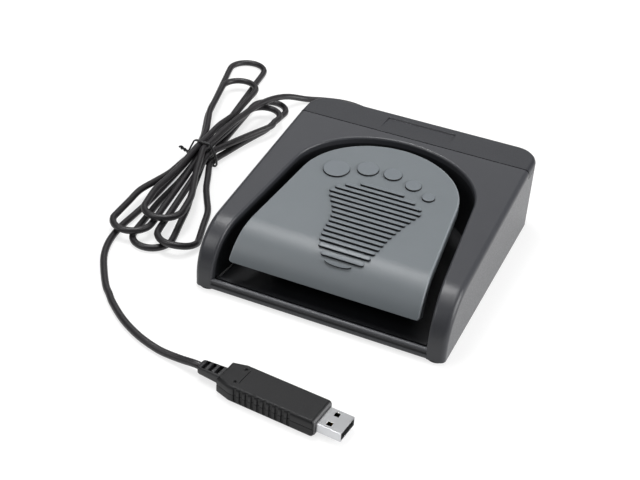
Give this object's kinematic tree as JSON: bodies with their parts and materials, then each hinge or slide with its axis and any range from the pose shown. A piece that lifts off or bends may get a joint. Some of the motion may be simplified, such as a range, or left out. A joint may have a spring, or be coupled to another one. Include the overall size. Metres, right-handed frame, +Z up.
{
  "type": "usb foot pedal switch",
  "caption": "Wedge-shaped foot switch: a sprung pedal plate with a raised footprint in an open-fronted housing, a sliding rear cover, and a tied cord ending in a large USB plug.",
  "frame": {"origin": "middle of the housing's footprint on the floor under its feet, without the cord and what is on it", "axes": "+X to the right for the person using it, +Y to the back where the cord leaves, +Z up"},
  "size_m": [0.2134, 0.2846, 0.0398],
  "materials": {
    "housing_plastic": "finely textured moulded ABS",
    "cover_plastic": "finely textured moulded ABS",
    "tray_plastic": "smooth moulded ABS",
    "pedal_plastic": "satin moulded ABS",
    "switch_plastic": "smooth moulded nylon",
    "plunger_plastic": "smooth moulded nylon",
    "tie_plastic": "plastic-covered wire",
    "plug_plastic": "finely textured moulded ABS",
    "tongue_plastic": "smooth moulded nylon",
    "board": "solder-masked glass-fibre board",
    "cord_pvc": "extruded soft PVC jacket",
    "wire_pvc": "extruded PVC insulation",
    "rubber": "moulded rubber",
    "steel": "zinc-plated steel",
    "spring_steel": "drawn spring wire",
    "shell_metal": "pressed nickel-plated sheet",
    "contact_metal": "gold-plated spring brass"
  },
  "bodies": {
    "base": {"base_tray": "tray_plastic", "top_housing": "housing_plastic", "pivot_axle": "steel", "axle_clips": "steel", "return_spring_left": "spring_steel", "return_spring_right": "spring_steel", "switch_body": "switch_plastic", "switch_terminals": "contact_metal", "switch_screws": "steel", "switch_leads": "wire_pvc", "bumper_left": "rubber", "bumper_right": "rubber", "cable_clamp": "tray_plastic", "clamp_screws": "steel", "cord_tail": "cord_pvc", "cord_grommet": "rubber", "foot_front_left": "rubber", "foot_front_right": "rubber", "foot_rear_left": "rubber", "foot_rear_right": "rubber", "case_screws": "steel", "cord_lead_in": "cord_pvc", "cord_hank": "cord_pvc", "cable_tie": "tie_plastic", "cord_lead_out": "cord_pvc", "plug_strain_relief": "cord_pvc", "plug_case_bottom": "plug_plastic", "plug_case_top": "plug_plastic", "plug_board": "board", "plug_controller": "switch_plastic", "plug_crystal": "shell_metal", "usb_shell": "shell_metal", "usb_tongue": "tongue_plastic", "usb_contacts": "contact_metal"},
    "pedal": {"pedal_plate": "pedal_plastic"},
    "lever": {"switch_lever": "steel"},
    "plunger": {"switch_plunger": "plunger_plastic"},
    "cover": {"rear_cover": "cover_plastic"}
  },
  "joints": [
    {"name": "pedal_hinge", "type": "hinge", "parent": "base", "child": "pedal", "pos_m": [0, 0.0256, 0.02484], "axis": [1, 0, 0], "range_deg": [0, 6], "stiffness_Nm_per_rad": 6, "springref_deg": -3.44, "deforming": ["return_spring_left", "return_spring_right"]},
    {"name": "lever_hinge", "type": "hinge", "parent": "base", "child": "lever", "pos_m": [0, 0.0121, 0.0254], "axis": [1, 0, 0], "range_deg": [0, 10.5]},
    {"name": "plunger_slide", "type": "slide", "parent": "base", "child": "plunger", "axis": [0, 0, -1], "range_m": [0, 0.0013]},
    {"name": "cover_slide", "type": "slide", "parent": "base", "child": "cover", "axis": [0, 1, 0], "range_m": [0, 0.005]}
  ],
  "couplings": [
    {"joint": "lever_hinge", "follows": "pedal_hinge", "ratio": 1.7},
    {"joint": "plunger_slide", "follows": "pedal_hinge", "m_per_rad": 0.01105}
  ]
}
